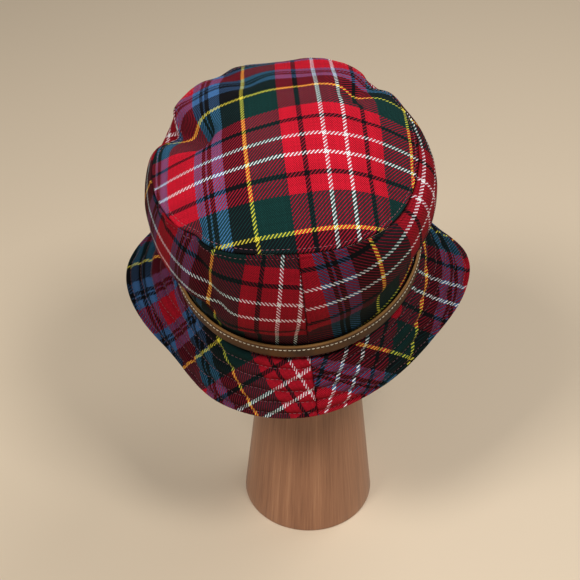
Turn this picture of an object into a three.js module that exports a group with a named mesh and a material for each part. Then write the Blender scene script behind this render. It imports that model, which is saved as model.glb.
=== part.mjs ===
import * as THREE from 'three';

// A tartan bucket hat with a full soft crown and a waved brim, resting on a turned wooden stand.
// Millimetres, +Z up, origin at the centre of the stand's foot, the hat's front towards -Y.

// Head line: the oval where the crown, the brim and the leather band meet.
const headHalfWidth = 89;
const headHalfLength = 98;

// Crown.
const crownHeight = 100;
const tipRise = 36;
const tipCentreX = 19;
const tipCentreY = -4;
const tipRoundness = 1.84;
const crownCloth = 1.8;

// Brim.
const brimWidth = 52;
const brimCloth = 2.4;

// Leather band.
const bandHeight = 12;
const bandLeather = 2;
const bandDrop = 1.5;

// Sewn joins keep this much air between the pieces.
const seamGap = 0.3;

// The side seams of crown and brim stand at this angle from the front, and opposite it.
const seamAngle = 5.5;

// Seat of the hat on the stand.
const seatX = -10.5;
const seatY = -0.7;
const seatHeight = 265.5;
const tiltForward = 12;
const leanSideways = -4.6;

// Stand: a round column that narrows upwards into a neck and carries a rounded head.
const standFootRadius = 54.5;
const standFootEdge = 2;
const standNeckRadius = 27;
const standNeckHeight = 262;
const standHeadRadius = 47;
const standHeadRise = 44;
const standSeatGap = 0.3;

// Crown sections, one row for each section round the head. Angle in degrees from the front towards the right.
// seamUp and bellyUp are shares of crownHeight, seamOut and bellyOut shares of headHalfWidth.
const crownSections = [
  { angle: 0, seamUp: 1.05, seamOut: -0.03, bellyUp: 0.59, bellyOut: 0.25 },
  { angle: 30, seamUp: 1.05, seamOut: 0.05, bellyUp: 0.75, bellyOut: 0.24 },
  { angle: 60, seamUp: 0.91, seamOut: 0.02, bellyUp: 0.87, bellyOut: 0.28 },
  { angle: 90, seamUp: 0.94, seamOut: 0.02, bellyUp: 0.71, bellyOut: 0.31 },
  { angle: 120, seamUp: 0.96, seamOut: 0.01, bellyUp: 0.58, bellyOut: 0.27 },
  { angle: 150, seamUp: 1.00, seamOut: -0.02, bellyUp: 0.54, bellyOut: 0.29 },
  { angle: 180, seamUp: 0.89, seamOut: 0.02, bellyUp: 0.53, bellyOut: 0.29 },
  { angle: 210, seamUp: 0.93, seamOut: 0.09, bellyUp: 0.53, bellyOut: 0.28 },
  { angle: 240, seamUp: 0.94, seamOut: 0.05, bellyUp: 0.57, bellyOut: 0.30 },
  { angle: 270, seamUp: 0.94, seamOut: 0.05, bellyUp: 0.69, bellyOut: 0.26 },
  { angle: 300, seamUp: 1.01, seamOut: 0.05, bellyUp: 0.50, bellyOut: 0.28 },
  { angle: 330, seamUp: 1.06, seamOut: 0.04, bellyUp: 0.47, bellyOut: 0.31 },
];

// Brim sections: how far the brim droops below the head line's plane at its root and at its edge, in degrees,
// and its width as a share of brimWidth.
const brimSections = [
  { angle: 0, rootDroop: 52, edgeDroop: 64, width: 0.98 },
  { angle: 30, rootDroop: 57, edgeDroop: 76, width: 0.97 },
  { angle: 60, rootDroop: 68, edgeDroop: 57, width: 0.98 },
  { angle: 90, rootDroop: 48, edgeDroop: 30, width: 1.02 },
  { angle: 120, rootDroop: 56, edgeDroop: 64, width: 1.01 },
  { angle: 150, rootDroop: 45, edgeDroop: 48, width: 1.00 },
  { angle: 180, rootDroop: 39, edgeDroop: 38, width: 1.00 },
  { angle: 210, rootDroop: 39, edgeDroop: 38, width: 1.00 },
  { angle: 240, rootDroop: 44, edgeDroop: 42, width: 1.01 },
  { angle: 270, rootDroop: 42, edgeDroop: 19, width: 1.03 },
  { angle: 300, rootDroop: 71, edgeDroop: 50, width: 1.01 },
  { angle: 330, rootDroop: 61, edgeDroop: 53, width: 1.01 },
];

// Folds pressed into the slack crown. Each runs from one place to another; a level of 0 is the head line,
// 1 the seam round the tip and 2 the middle of the tip. Width and depth are shares of headHalfWidth,
// and a depth below 0 swells outwards.
const crownFolds = [
  { fromAngle: 248, fromLevel: 0.91, toAngle: 262, toLevel: 1.27, width: 0.13, depth: 0.15 },
  { fromAngle: 264, fromLevel: 1.27, toAngle: 260, toLevel: 1.46, width: 0.10, depth: 0.01 },
  { fromAngle: 212, fromLevel: 0.94, toAngle: 213, toLevel: 1.38, width: 0.12, depth: 0.04 },
  { fromAngle: 135, fromLevel: 0.93, toAngle: 124, toLevel: 1.45, width: 0.11, depth: 0.07 },
  { fromAngle: 318, fromLevel: 1.01, toAngle: 331, toLevel: 0.57, width: 0.10, depth: 0.06 },
  { fromAngle: 267, fromLevel: 0.72, toAngle: 285, toLevel: 0.87, width: 0.28, depth: -0.01 },
  { fromAngle: 235, fromLevel: 1.06, toAngle: 226, toLevel: 1.16, width: 0.24, depth: -0.03 },
  { fromAngle: 168, fromLevel: 1.00, toAngle: 177, toLevel: 1.07, width: 0.22, depth: -0.04 },
  { fromAngle: 301, fromLevel: 0.35, toAngle: 323, toLevel: 0.39, width: 0.13, depth: 0.13 },
  { fromAngle: 64, fromLevel: 0.24, toAngle: 46, toLevel: 0.28, width: 0.12, depth: 0.03 },
];

const radians = (degrees) => degrees * Math.PI / 180;
const mix = (a, b, share) => a + (b - a) * share;
const bounded = (value, low, high) => Math.min(high, Math.max(low, value));

function smoothStep(from, to, value) {
  const share = bounded((value - from) / (to - from), 0, 1);
  return share * share * (3 - 2 * share);
}

// A smooth closed curve through one column of a table whose rows stand at equal angles.
function roundTheHead(rows, column, angle) {
  const count = rows.length;
  const position = ((angle % 360) + 360) % 360 / (360 / count);
  const index = Math.floor(position);
  const f = position - index;
  const [a, b, c, d] = [-1, 0, 1, 2].map((step) => rows[(index + step + count) % count][column]);
  return 0.5 * (2 * b + (c - a) * f + (2 * a - 5 * b + 4 * c - d) * f * f + (3 * b - a - 3 * c + d) * f * f * f);
}

// A point of the head line, moved outwards along the oval's normal.
function headLine(angle, outwards, up) {
  const turn = radians(angle);
  const normal = new THREE.Vector2(headHalfLength * Math.sin(turn), -headHalfWidth * Math.cos(turn)).normalize();
  return new THREE.Vector3(
    headHalfWidth * Math.sin(turn) + outwards * normal.x,
    -headHalfLength * Math.cos(turn) + outwards * normal.y,
    up,
  );
}

// The crown's wall: a curve from the head line to the tip seam with a belly between them. It stands upright
// where the band grips it.
function wallPoint(angle, level) {
  const seamUp = roundTheHead(crownSections, 'seamUp', angle) * crownHeight;
  const seamOut = roundTheHead(crownSections, 'seamOut', angle) * headHalfWidth;
  const bellyUp = roundTheHead(crownSections, 'bellyUp', angle) * crownHeight;
  const bellyOut = roundTheHead(crownSections, 'bellyOut', angle) * headHalfWidth;
  const out = 2 * level * (1 - level) * bellyOut + level * level * seamOut;
  const up = 2 * level * (1 - level) * bellyUp + level * level * seamUp;
  const gripUp = bandHeight / crownHeight;
  return headLine(angle, out * smoothStep(0.8 * gripUp, 3.2 * gripUp, level), up);
}

// The tip: a dome from its centre out to the seam.
function tipPoint(angle, share) {
  const seam = wallPoint(angle, 1);
  const top = crownHeight + tipRise;
  return new THREE.Vector3(
    mix(tipCentreX, seam.x, share),
    mix(tipCentreY, seam.y, share),
    mix(top, seam.z, share ** tipRoundness),
  );
}

const smoothCrown = (angle, level) => (level <= 1 ? wallPoint(angle, level) : tipPoint(angle, 2 - level));

const foldLines = crownFolds.map((fold) => ({
  line: new THREE.Line3(
    smoothCrown(fold.fromAngle, fold.fromLevel),
    smoothCrown(fold.toAngle, fold.toLevel),
  ),
  width: fold.width * headHalfWidth,
  depth: fold.depth * headHalfWidth,
}));

const crownHeart = new THREE.Vector3(0, 0, 0.45 * crownHeight);

// The crown's outer face with its folds pressed in towards the crown's heart.
function crownPoint(angle, level) {
  const point = smoothCrown(angle, level);
  const onLine = new THREE.Vector3();
  let press = 0;
  for (const { line, width, depth } of foldLines) {
    line.closestPointToPoint(point, true, onLine);
    press += depth * Math.exp(-((point.distanceTo(onLine) / width) ** 2));
  }
  press *= smoothStep(0.12, 0.3, level);
  const inwards = crownHeart.clone().sub(point).normalize();
  return point.addScaledVector(inwards, press);
}

// The brim's upper face: an arc outwards whose droop turns from its root's to its edge's.
const brimRootIn = crownCloth + 0.2;
const brimSteps = 10;
function brimPoint(angle, share) {
  const rootDroop = radians(roundTheHead(brimSections, 'rootDroop', angle));
  const edgeDroop = radians(roundTheHead(brimSections, 'edgeDroop', angle));
  const step = share * roundTheHead(brimSections, 'width', angle) * (brimWidth + brimRootIn) / brimSteps;
  let out = -brimRootIn;
  let up = -seamGap;
  for (let k = 0; k < brimSteps; k += 1) {
    const droop = mix(rootDroop, edgeDroop, share * (k + 0.5) / brimSteps);
    out += Math.cos(droop) * step;
    up -= Math.sin(droop) * step;
  }
  return headLine(angle, out, up);
}

// The outward normal of a face given as a function of angle and level.
function faceNormal(face, angle, level, angleStep, levelStep, lowest, highest) {
  const along = face(angle + angleStep, level).sub(face(angle - angleStep, level));
  const below = Math.max(lowest, level - levelStep);
  const above = Math.min(highest, level + levelStep);
  const across = face(angle, above).sub(face(angle, below));
  return along.cross(across).normalize();
}

// A closed cloth panel between two angles and two levels: the outer face, the inner face one wall
// thickness behind it, and the four edges.
function clothPanel(face, panel) {
  const { fromAngle, toAngle, angleCount, fromLevel, toLevel, levelCount, thickness, lowest, highest } = panel;
  const positions = [];
  const faces = [];
  const closesRound = panel.closesRound === true;
  const columns = closesRound ? angleCount : angleCount + 1;
  const rows = levelCount + 1;
  for (const side of [0, 1]) {
    for (let i = 0; i < columns; i += 1) {
      const angle = mix(fromAngle, toAngle, i / angleCount);
      for (let j = 0; j < rows; j += 1) {
        const level = mix(fromLevel, toLevel, j / levelCount);
        const point = face(angle, level);
        if (side === 1) {
          const normal = faceNormal(face, angle, level, 1, 0.03, lowest, highest);
          point.addScaledVector(normal, -thickness);
        }
        positions.push(point.x, point.y, point.z);
      }
    }
  }
  const at = (side, i, j) => side * columns * rows + (i % columns) * rows + j;
  const quad = (a, b, c, d) => faces.push(a, b, c, a, c, d);
  for (let i = 0; i < angleCount; i += 1) {
    for (let j = 0; j < levelCount; j += 1) {
      quad(at(0, i, j), at(0, i + 1, j), at(0, i + 1, j + 1), at(0, i, j + 1));
      quad(at(1, i, j + 1), at(1, i + 1, j + 1), at(1, i + 1, j), at(1, i, j));
    }
    quad(at(1, i, 0), at(1, i + 1, 0), at(0, i + 1, 0), at(0, i, 0));
    quad(at(0, i, levelCount), at(0, i + 1, levelCount), at(1, i + 1, levelCount), at(1, i, levelCount));
  }
  if (!closesRound) {
    for (let j = 0; j < levelCount; j += 1) {
      quad(at(0, 0, j), at(0, 0, j + 1), at(1, 0, j + 1), at(1, 0, j));
      quad(at(1, angleCount, j), at(1, angleCount, j + 1), at(0, angleCount, j + 1), at(0, angleCount, j));
    }
  }
  return closedGeometry(positions, faces);
}

function closedGeometry(positions, faces) {
  const geometry = new THREE.BufferGeometry();
  geometry.setAttribute('position', new THREE.Float32BufferAttribute(positions, 3));
  geometry.setIndex(faces);
  geometry.computeVertexNormals();
  return geometry;
}

// The tip panel: rings round a single middle point on each face. Ring 0 is the middle.
const tipRingCount = 10;
const tipAngleCount = 60;
const tipSeamShare = 0.5 * seamGap / (headHalfWidth + tipRise);
function tipVertex(side, ring, index) {
  const level = mix(2, 1 + tipSeamShare, ring / tipRingCount);
  const angle = seamAngle + 360 * (index % tipAngleCount) / tipAngleCount;
  const point = crownPoint(angle, level);
  if (side === 1 && ring === 0) {
    point.z -= crownCloth;
  } else if (side === 1) {
    point.addScaledVector(faceNormal(crownPoint, angle, level, 2, 0.03, 0, 2), -crownCloth);
  }
  return point;
}

function tipPanel() {
  const positions = [];
  const faces = [];
  const middle = [];
  for (const side of [0, 1]) {
    middle.push(positions.length / 3);
    positions.push(...tipVertex(side, 0, 0).toArray());
    for (let ring = 1; ring <= tipRingCount; ring += 1) {
      for (let i = 0; i < tipAngleCount; i += 1) {
        positions.push(...tipVertex(side, ring, i).toArray());
      }
    }
  }
  const at = (side, ring, i) => middle[side] + 1 + (ring - 1) * tipAngleCount + (i % tipAngleCount);
  for (let i = 0; i < tipAngleCount; i += 1) {
    faces.push(middle[0], at(0, 1, i), at(0, 1, i + 1));
    faces.push(middle[1], at(1, 1, i + 1), at(1, 1, i));
    for (let ring = 1; ring < tipRingCount; ring += 1) {
      faces.push(at(0, ring, i), at(0, ring + 1, i), at(0, ring + 1, i + 1));
      faces.push(at(0, ring, i), at(0, ring + 1, i + 1), at(0, ring, i + 1));
      faces.push(at(1, ring, i), at(1, ring + 1, i + 1), at(1, ring + 1, i));
      faces.push(at(1, ring, i), at(1, ring, i + 1), at(1, ring + 1, i + 1));
    }
    faces.push(at(0, tipRingCount, i), at(1, tipRingCount, i), at(1, tipRingCount, i + 1));
    faces.push(at(0, tipRingCount, i), at(1, tipRingCount, i + 1), at(0, tipRingCount, i + 1));
  }
  return closedGeometry(positions, faces);
}

// The leather band: a loop of strap standing round the foot of the crown.
const bandCount = 72;
function bandLoop() {
  const inner = 0.7 + seamGap;
  const outer = inner + bandLeather;
  const bottom = -bandDrop;
  const top = bandHeight - bandDrop;
  const corners = [[outer, bottom], [outer, top], [inner, top], [inner, bottom]];
  const positions = [];
  const faces = [];
  for (let i = 0; i < bandCount; i += 1) {
    for (const [out, up] of corners) {
      const point = headLine(360 * i / bandCount, out, up);
      positions.push(point.x, point.y, point.z);
    }
  }
  const at = (i, k) => (i % bandCount) * 4 + (k % 4);
  for (let i = 0; i < bandCount; i += 1) {
    for (let k = 0; k < 4; k += 1) {
      faces.push(at(i, k), at(i + 1, k), at(i + 1, k + 1));
      faces.push(at(i, k), at(i + 1, k + 1), at(i, k + 1));
    }
  }
  return closedGeometry(positions, faces);
}

const tartan = () => new THREE.MeshStandardMaterial({ color: 0x8a2433, roughness: 0.9, metalness: 0 });
const leather = () => new THREE.MeshStandardMaterial({ color: 0x50300f, roughness: 0.55, metalness: 0 });
const wood = () => new THREE.MeshStandardMaterial({ color: 0x92624a, roughness: 0.5, metalness: 0 });

function piece(name, geometry, material) {
  const mesh = new THREE.Mesh(geometry, material);
  mesh.name = name;
  return mesh;
}

const wallShare = 0.5 * seamGap / crownHeight;
const seamTurn = 0.5 * seamGap / headHalfWidth * 180 / Math.PI;

const hat = new THREE.Group();
hat.add(piece('crown_tip', tipPanel(), tartan()));
const halves = [['right', seamAngle], ['left', seamAngle + 180]];
for (const [side, startAngle] of halves) {
  hat.add(piece(`crown_side_${side}`, clothPanel(crownPoint, {
    fromAngle: startAngle + seamTurn,
    toAngle: startAngle + 180 - seamTurn,
    angleCount: 30,
    fromLevel: 0,
    toLevel: 1 - wallShare,
    levelCount: 11,
    thickness: crownCloth,
    lowest: 0,
    highest: 2,
  }), tartan()));
  hat.add(piece(`brim_${side}`, clothPanel((angle, level) => brimPoint(angle, 1 - level), {
    fromAngle: startAngle + seamTurn,
    toAngle: startAngle + 180 - seamTurn,
    angleCount: 36,
    fromLevel: 0,
    toLevel: 1,
    levelCount: 6,
    thickness: brimCloth,
    lowest: 0,
    highest: 1,
  }), tartan()));
}
hat.add(piece('hat_band', bandLoop(), leather()));
hat.position.set(seatX, seatY, seatHeight);
hat.rotation.set(radians(tiltForward), radians(leanSideways), 0, 'XYZ');
hat.updateMatrixWorld(true);

// How far the stand's rounded head has dropped below its top at a distance from the axis.
function headDrop(radius) {
  const share = Math.min(1, radius / standHeadRadius);
  return standHeadRise * (1 - Math.sqrt(1 - share * share));
}

// The stand's top: as high as the inside of the tip lets its rounded head come.
function standTop() {
  let top = Infinity;
  for (let i = 0; i < tipAngleCount; i += 1) {
    for (let ring = 0; ring < tipRingCount; ring += 1) {
      const inner = hat.localToWorld(tipVertex(1, ring, i));
      const next = hat.localToWorld(tipVertex(1, ring + 1, i));
      for (const share of [0, 0.25, 0.5, 0.75]) {
        const point = inner.clone().lerp(next, share);
        const radius = Math.hypot(point.x, point.y);
        if (radius < standHeadRadius * 0.97) {
          top = Math.min(top, point.z + headDrop(radius));
        }
      }
    }
  }
  return top - standSeatGap;
}

// The stand's outline, turned round the Z axis.
const standCount = 48;
function turnedStand() {
  const top = standTop();
  const headBase = top - standHeadRise;
  const outline = [[0, 0], [standFootRadius - standFootEdge, 0], [standFootRadius, standFootEdge]];
  const columnSteps = 6;
  for (let k = 1; k <= columnSteps; k += 1) {
    const share = k / columnSteps;
    outline.push([mix(standFootRadius, standNeckRadius, share), mix(standFootEdge, standNeckHeight, share)]);
  }
  const neckSteps = 5;
  for (let k = 1; k <= neckSteps; k += 1) {
    const share = k / neckSteps;
    outline.push([
      mix(standNeckRadius, standHeadRadius, smoothStep(0, 1, share)),
      mix(standNeckHeight, headBase, share),
    ]);
  }
  const headSteps = 14;
  for (let k = 1; k < headSteps; k += 1) {
    const turn = 0.5 * Math.PI * k / headSteps;
    outline.push([standHeadRadius * Math.cos(turn), headBase + standHeadRise * Math.sin(turn)]);
  }
  outline.push([0, top]);
  const geometry = new THREE.LatheGeometry(outline.map(([r, z]) => new THREE.Vector2(r, z)), standCount);
  geometry.rotateX(Math.PI / 2);
  return geometry;
}

const part = new THREE.Group();
part.add(hat);
part.add(piece('stand', turnedStand(), wood()));

export default part;
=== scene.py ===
# A tartan bucket hat with a leather band, resting on a turned walnut stand.
import bmesh
import bpy
import functools
import math
import mathutils
import numpy as np
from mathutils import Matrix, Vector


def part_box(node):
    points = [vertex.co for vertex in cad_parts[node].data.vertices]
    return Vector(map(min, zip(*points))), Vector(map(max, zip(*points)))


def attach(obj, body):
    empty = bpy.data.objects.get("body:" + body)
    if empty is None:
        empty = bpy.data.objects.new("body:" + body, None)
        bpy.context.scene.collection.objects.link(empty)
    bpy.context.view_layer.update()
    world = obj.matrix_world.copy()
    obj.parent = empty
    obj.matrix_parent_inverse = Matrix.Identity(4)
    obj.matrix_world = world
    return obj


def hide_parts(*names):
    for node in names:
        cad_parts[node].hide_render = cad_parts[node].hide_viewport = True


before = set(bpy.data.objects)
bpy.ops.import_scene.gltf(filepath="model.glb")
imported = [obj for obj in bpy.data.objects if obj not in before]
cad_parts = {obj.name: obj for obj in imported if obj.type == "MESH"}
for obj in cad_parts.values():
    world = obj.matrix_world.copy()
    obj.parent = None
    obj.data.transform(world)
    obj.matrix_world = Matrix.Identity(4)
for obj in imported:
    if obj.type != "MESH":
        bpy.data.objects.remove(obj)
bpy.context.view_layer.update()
print("frame loaded with", len(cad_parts), "solids")

millimetre = 0.001

# The hat's own sizes in millimetres and degrees, the same as the solids'.
hatSize = {
    "headHalfWidth": 89.0,
    "headHalfLength": 98.0,
    "crownHeight": 100.0,
    "tipRise": 36.0,
    "tipCentre": (19.0, -4.0),
    "tipRoundness": 1.84,
    "crownCloth": 1.8,
    "heartUp": 0.45,  # folds are pressed towards this share of the crown's height
    "brimWidth": 52.0,
    "brimCloth": 2.4,
    "brimTuck": 0.2,  # how far the brim's root reaches in past the crown's cloth
    "bandHeight": 12.0,
    "bandLeather": 2.0,
    "bandDrop": 1.5,
    "bandOff": 0.7,  # room between the head line and the strap, besides the gap
    "bandGrip": (0.8, 3.2),  # the wall bends outwards between these shares of the band's height
    "bandHold": (1.0, 2.5),  # and its folds begin between these
    "seamAngle": 5.5,
    "seamGap": 0.3,
    "seat": (-10.5, -0.7, 265.5),
    "tiltForward": 12.0,
    "leanSideways": -4.6,
}
brimRoot = hatSize["crownCloth"] + hatSize["brimTuck"]
brimDepth = hatSize["brimWidth"] + brimRoot
strapInside = hatSize["bandOff"] + hatSize["seamGap"]

# Crown sections every 30 degrees from the front towards the right: seamUp, seamOut, bellyUp, bellyOut.
crownSections = np.array([
    (1.05, -0.03, 0.59, 0.25),
    (1.05, 0.05, 0.75, 0.24),
    (0.91, 0.02, 0.87, 0.28),
    (0.94, 0.02, 0.71, 0.31),
    (0.96, 0.01, 0.58, 0.27),
    (1.00, -0.02, 0.54, 0.29),
    (0.89, 0.02, 0.53, 0.29),
    (0.93, 0.09, 0.53, 0.28),
    (0.94, 0.05, 0.57, 0.30),
    (0.94, 0.05, 0.69, 0.26),
    (1.01, 0.05, 0.50, 0.28),
    (1.06, 0.04, 0.47, 0.31),
])

# Brim sections every 30 degrees: rootDroop and edgeDroop in degrees, width as a share.
brimSections = np.array([
    (52, 64, 0.98), (57, 76, 0.97), (68, 57, 0.98), (48, 30, 1.02), (56, 64, 1.01), (45, 48, 1.00),
    (39, 38, 1.00), (39, 38, 1.00), (44, 42, 1.01), (42, 19, 1.03), (71, 50, 1.01), (61, 53, 1.01),
])

# Folds of the slack crown: fromAngle, fromLevel, toAngle, toLevel, width, depth as shares of headHalfWidth.
crownFolds = [
    (248, 0.91, 262, 1.27, 0.13, 0.15),
    (264, 1.27, 260, 1.46, 0.10, 0.01),
    (212, 0.94, 213, 1.38, 0.12, 0.04),
    (135, 0.93, 124, 1.45, 0.11, 0.07),
    (318, 1.01, 331, 0.57, 0.10, 0.06),
    (267, 0.72, 285, 0.87, 0.28, -0.01),
    (235, 1.06, 226, 1.16, 0.24, -0.03),
    (168, 1.00, 177, 1.07, 0.22, -0.04),
    (301, 0.35, 323, 0.39, 0.13, 0.13),
    (64, 0.24, 46, 0.28, 0.12, 0.03),
]


def smoothStep(low, high, value):
    # 3s^2 - 2s^3 of the share of the way from low to high
    share = np.clip((value - low) / (high - low), 0, 1)
    return share * share * (3 - 2 * share)


def hump(distance, width):
    # exp(-(distance / width)^2)
    return np.exp(-(distance / width) ** 2)


def unit(vector):
    return vector / np.linalg.norm(vector, axis=-1, keepdims=True)


def lengthTo(points):
    # distance along a line of points up to each of them
    return np.concatenate([[0], np.cumsum(np.linalg.norm(np.diff(points, axis=0), axis=-1))])


def roundTheHead(column, angle):
    # a closed Catmull-Rom curve through values that stand at equal angles
    count = len(column)
    position = (np.asarray(angle, float) % 360.0) / (360.0 / count)
    index = np.floor(position).astype(int) % count
    f = position - np.floor(position)
    a, b, c, d = (column[(index + step) % count] for step in (-1, 0, 1, 2))
    return 0.5 * (2 * b + (c - a) * f + (2 * a - 5 * b + 4 * c - d) * f**2 + (3 * b - a - 3 * c + d) * f**3)


def headLine(angle, out, up):
    # the oval (a sin t, -b cos t), moved by out along its normal and raised by up
    a, b = hatSize["headHalfWidth"], hatSize["headHalfLength"]
    turn = np.radians(angle)
    nx, ny = b * np.sin(turn), -a * np.cos(turn)
    size = np.hypot(nx, ny)
    x = a * np.sin(turn) + out * nx / size
    y = -b * np.cos(turn) + out * ny / size
    return np.stack(np.broadcast_arrays(x, y, up), -1)


def aboveBand(level, shares):
    # from 0 to 1 between two shares of the band's height
    grip = hatSize["bandHeight"] / hatSize["crownHeight"]
    return smoothStep(shares[0] * grip, shares[1] * grip, level)


def wallPoint(angle, level):
    # a quadratic curve from the head line over the belly to the seam, upright inside the band's grip
    seamUp, seamOut, bellyUp, bellyOut = (roundTheHead(crownSections[:, k], angle) for k in range(4))
    out = (2 * level * (1 - level) * bellyOut + level * level * seamOut) * hatSize["headHalfWidth"]
    up = (2 * level * (1 - level) * bellyUp + level * level * seamUp) * hatSize["crownHeight"]
    return headLine(angle, out * aboveBand(level, hatSize["bandGrip"]), up)


def tipPoint(angle, share):
    # straight out from the tip's middle in plan, falling with share^tipRoundness to the seam
    seam = wallPoint(angle, np.ones_like(share))
    middleX, middleY = hatSize["tipCentre"]
    top = hatSize["crownHeight"] + hatSize["tipRise"]
    x = middleX + (seam[..., 0] - middleX) * share
    y = middleY + (seam[..., 1] - middleY) * share
    z = top + (seam[..., 2] - top) * share ** hatSize["tipRoundness"]
    return np.stack([x, y, z], -1)


def smoothCrown(angle, level):
    # level 0 to 1 is the wall, 1 to 2 the tip
    angle, level = np.broadcast_arrays(np.asarray(angle, float), np.asarray(level, float))
    wall = wallPoint(angle, np.minimum(level, 1))
    tip = tipPoint(angle, np.clip(2 - level, 0, 1))
    return np.where((level <= 1)[..., None], wall, tip)


def crownPoint(angle, level):
    # the smooth crown, pressed towards its heart by the sum of depth * exp(-(distance to fold / width)^2)
    angle, level = np.broadcast_arrays(np.asarray(angle, float), np.asarray(level, float))
    point = smoothCrown(angle, level)
    size = hatSize["headHalfWidth"]
    press = np.zeros(level.shape)
    for fromAngle, fromLevel, toAngle, toLevel, width, depth in crownFolds:
        start, end = smoothCrown(fromAngle, fromLevel), smoothCrown(toAngle, toLevel)
        run = end - start
        share = np.clip(((point - start) @ run) / (run @ run), 0, 1)
        away = np.linalg.norm(point - start - share[..., None] * run, axis=-1)
        press += depth * size * hump(away, width * size)
    press *= aboveBand(level, hatSize["bandHold"])
    heart = np.array([0, 0, hatSize["heartUp"] * hatSize["crownHeight"]])
    return point + unit(heart - point) * press[..., None]


def brimPoint(angle, share):
    # an arc outwards whose droop turns evenly from its root's to its edge's
    angle, share = np.broadcast_arrays(np.asarray(angle, float), np.asarray(share, float))
    rootDroop, edgeDroop, width = (roundTheHead(brimSections[:, k], angle) for k in range(3))
    steps = 10
    step = share * width * brimDepth / steps
    out = np.full(share.shape, -brimRoot)
    up = np.full(share.shape, -hatSize["seamGap"])
    for k in range(steps):
        droop = np.radians(rootDroop + (edgeDroop - rootDroop) * share * (k + 0.5) / steps)
        out = out + np.cos(droop) * step
        up = up - np.sin(droop) * step
    return headLine(angle, out, up)


def onSeat(point):
    # lean about Y, tilt about X, then move to the seat, and turn millimetres into metres
    tilt, lean = np.radians(hatSize["tiltForward"]), np.radians(hatSize["leanSideways"])
    x, y, z = point[..., 0], point[..., 1], point[..., 2]
    x, z = x * np.cos(lean) + z * np.sin(lean), z * np.cos(lean) - x * np.sin(lean)
    y, z = y * np.cos(tilt) - z * np.sin(tilt), y * np.sin(tilt) + z * np.cos(tilt)
    return (np.stack([x, y, z], -1) + np.array(hatSize["seat"])) * millimetre


def faceNormal(face, angle, level, levelStep, highest):
    # the cross product of a step of a degree each way round the head and a step each way up the face
    along = face(angle + 1.0, level) - face(angle - 1.0, level)
    higher = face(angle, np.minimum(highest, level + levelStep))
    lower = face(angle, np.maximum(0, level - levelStep))
    return unit(np.cross(along, higher - lower))


def lengthAlong(face, angle, level):
    # distance along each column of the grid from its first level
    point = face(angle, level)
    pieces = np.linalg.norm(np.diff(point, axis=1), axis=-1)
    return np.concatenate([np.zeros((point.shape[0], 1)), np.cumsum(pieces, axis=1)], 1)


# the head line's length from the front, every tenth of a degree
headAngles = np.linspace(0, 360, 3601)
headLengths = lengthTo(headLine(headAngles, 0.0, 0.0))
wholeRound = headLengths[-1]


def aroundHead(angle):
    # distance along the head line from the front seam
    turns = np.floor(angle / 360.0)
    length = np.interp(angle - 360 * turns, headAngles, headLengths) + turns * wholeRound
    return length - np.interp(hatSize["seamAngle"], headAngles, headLengths)


def besideSeam(around):
    # distance from the front or the back seam, whichever is nearer
    fromBack = np.abs(around - wholeRound / 2)
    return np.minimum(np.abs(around), np.minimum(fromBack, np.abs(around - wholeRound)))


def softNoise(point, size, seed):
    # values on a random lattice of the given spacing in millimetres, blended smoothly, from -1 to 1
    cells = 64
    lattice = np.random.RandomState(seed).uniform(-1, 1, (cells, cells, cells))
    place = point / size + 500.0  # so that no place is below zero
    base = np.floor(place).astype(int)
    f = place - base
    f = f * f * (3 - 2 * f)
    total = np.zeros(point.shape[:-1])
    for corner in range(8):
        step = np.array([corner & 1, corner >> 1 & 1, corner >> 2 & 1])
        weight = np.prod(np.where(step, f, 1 - f), axis=-1)
        x, y, z = np.moveaxis((base + step) % cells, -1, 0)
        total += weight * lattice[x, y, z]
    return total


def flatNoise(x, y, layer, size, seed):
    # softNoise on one flat layer of its lattice
    return softNoise(np.stack(np.broadcast_arrays(x, y, layer), -1), size, seed)


def unevenness(point, waves):
    # the sum of depth * softNoise of each size
    return sum(depth * softNoise(point, size, seed) for depth, size, seed in waves)


def gridFaces(rows, columns, closesRound, start, flip):
    # quads of a grid whose vertex number is start + i * columns + j
    i = np.arange(rows if closesRound else rows - 1)
    j = np.arange(columns - 1)
    i, j = (v.ravel() for v in np.meshgrid(i, j, indexing="ij"))
    k = (i + 1) % rows
    quads = np.stack([i * columns + j, k * columns + j, k * columns + j + 1, i * columns + j + 1], -1) + start
    return quads[:, ::-1] if flip else quads


def makeMesh(name, vertices, faces, uv, material):
    # a smooth mesh of arrays of places, faces and grain, riding on the one body
    mesh = bpy.data.meshes.new(name)
    mesh.vertices.add(len(vertices))
    mesh.vertices.foreach_set("co", np.ascontiguousarray(vertices, np.float32).ravel())
    mesh.loops.add(faces.size)
    mesh.loops.foreach_set("vertex_index", np.ascontiguousarray(faces, np.int32).ravel())
    mesh.polygons.add(len(faces))
    mesh.polygons.foreach_set("loop_start", np.arange(0, faces.size, faces.shape[1], dtype=np.int32))
    mesh.update(calc_edges=True)
    if uv is not None:
        layer = mesh.uv_layers.new(name="grain")
        layer.uv.foreach_set("vector", np.ascontiguousarray(uv[faces.ravel()], np.float32).ravel())
    mesh.polygons.foreach_set("use_smooth", np.ones(len(faces), bool))
    mesh.materials.append(material)
    mesh.validate()
    piece = bpy.data.objects.new(name, mesh)
    bpy.context.scene.collection.objects.link(piece)
    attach(piece, "root")
    return piece


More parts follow.
